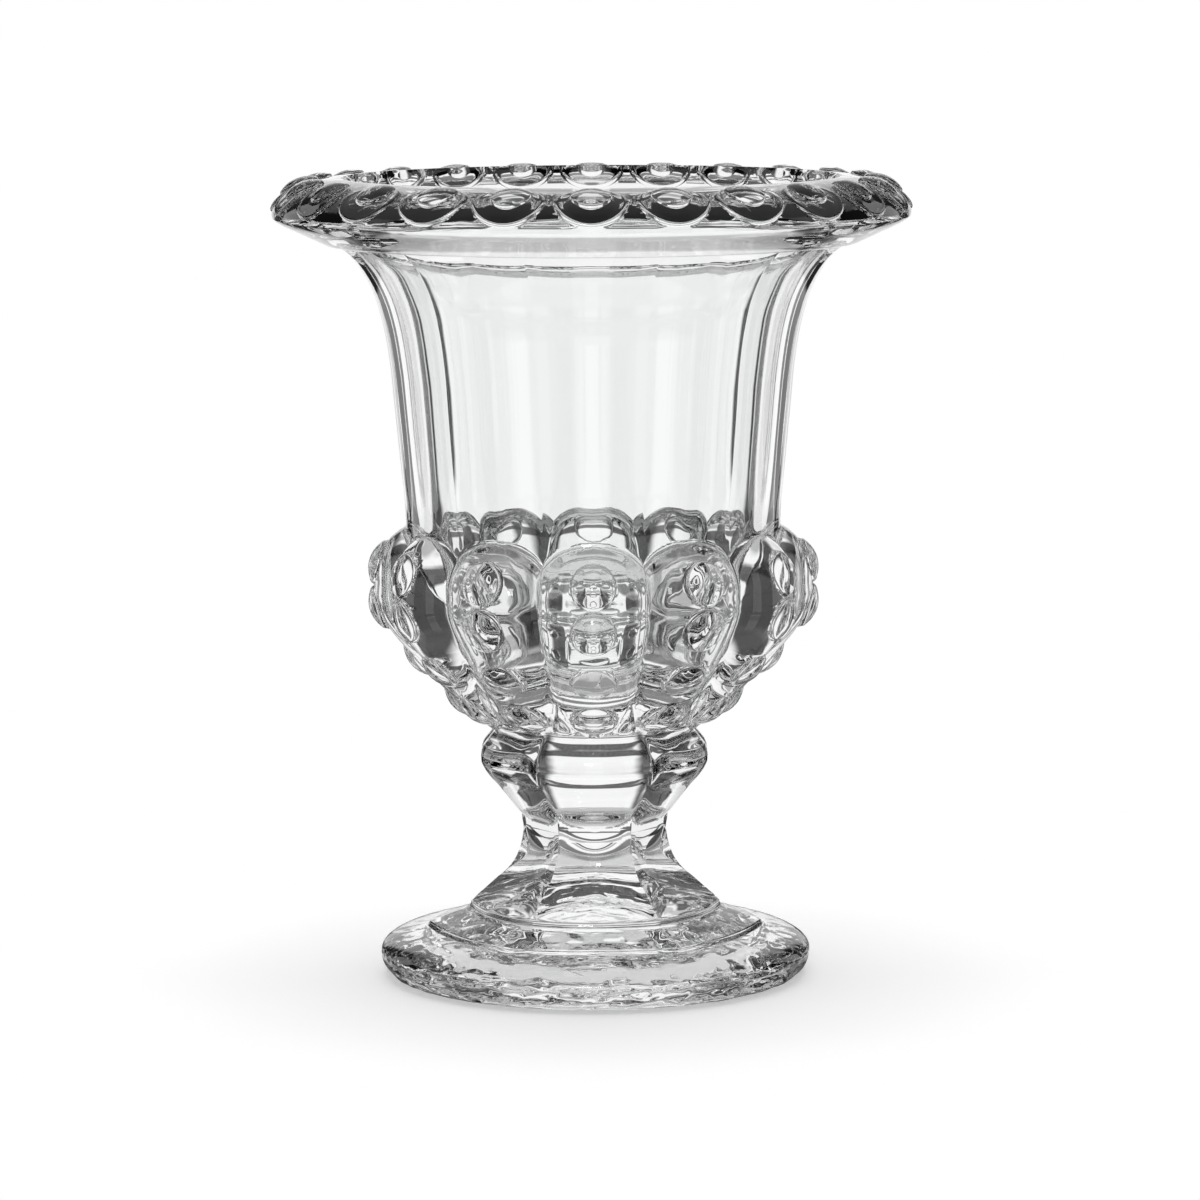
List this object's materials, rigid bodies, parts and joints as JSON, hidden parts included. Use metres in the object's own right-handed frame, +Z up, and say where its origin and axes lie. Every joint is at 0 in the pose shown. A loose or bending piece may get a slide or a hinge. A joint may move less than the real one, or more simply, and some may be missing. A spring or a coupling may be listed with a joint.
{
  "type": "footed glass vase",
  "caption": "Clear crystal urn vase with a turned-down eyed rim, fluted bowl, gadrooned cup with beads, lobed knop and stepped round foot.",
  "frame": {"origin": "middle of the ground ring that the foot stands on", "axes": "+Z up along the axis of the vase; -Y is the front, where an eye, a lobe, a knop panel and a foot face look"},
  "size_m": [0.198, 0.198, 0.2497],
  "materials": {
    "rim_collar": "fire-polished clear crystal",
    "bowl": "fire-polished clear crystal",
    "gadroon_cup": "fire-polished clear crystal",
    "joint_wafer": "fire-polished clear crystal",
    "stem_knop": "fire-polished clear crystal",
    "foot": "fire-polished clear crystal"
  },
  "bodies": {
    "root": {"rim_collar": "rim_collar", "bowl": "bowl", "gadroon_cup": "gadroon_cup", "joint_wafer": "joint_wafer", "stem_knop": "stem_knop", "foot": "foot"}
  },
  "joints": []
}
